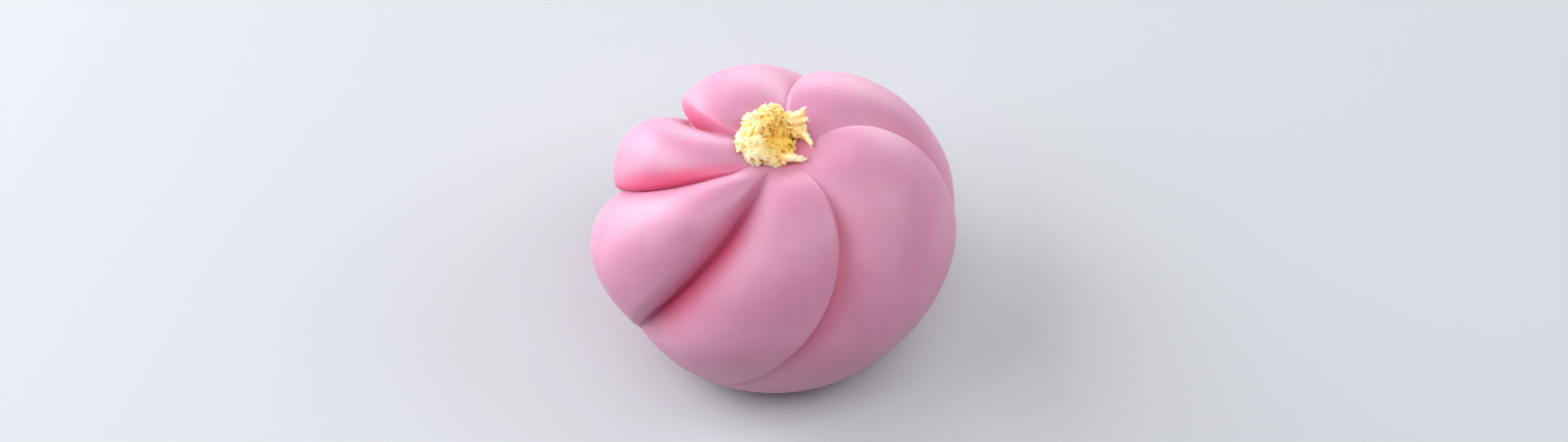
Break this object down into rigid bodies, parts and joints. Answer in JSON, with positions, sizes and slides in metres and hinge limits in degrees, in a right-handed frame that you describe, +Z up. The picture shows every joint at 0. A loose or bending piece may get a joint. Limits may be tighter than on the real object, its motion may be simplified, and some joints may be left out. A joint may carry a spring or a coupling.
{
  "type": "namagashi",
  "caption": "Round bun of sweet bean paste carved as a pinwheel flower of overlapping petals, with a tuft of sieved yellow paste in its crown and a flat foot.",
  "frame": {"origin": "middle of the flat foot, on the surface that the sweet rests on", "axes": "+Z up through the bun, -Y towards the front petal, +X to the right"},
  "size_m": [0.0469, 0.0469, 0.0354],
  "materials": {
    "pink_paste": "satin, slightly translucent sweet bean paste",
    "yellow_paste": "crumbly sieved bean paste"
  },
  "bodies": {
    "root": {"petals": "pink_paste", "tuft": "yellow_paste"}
  },
  "joints": []
}
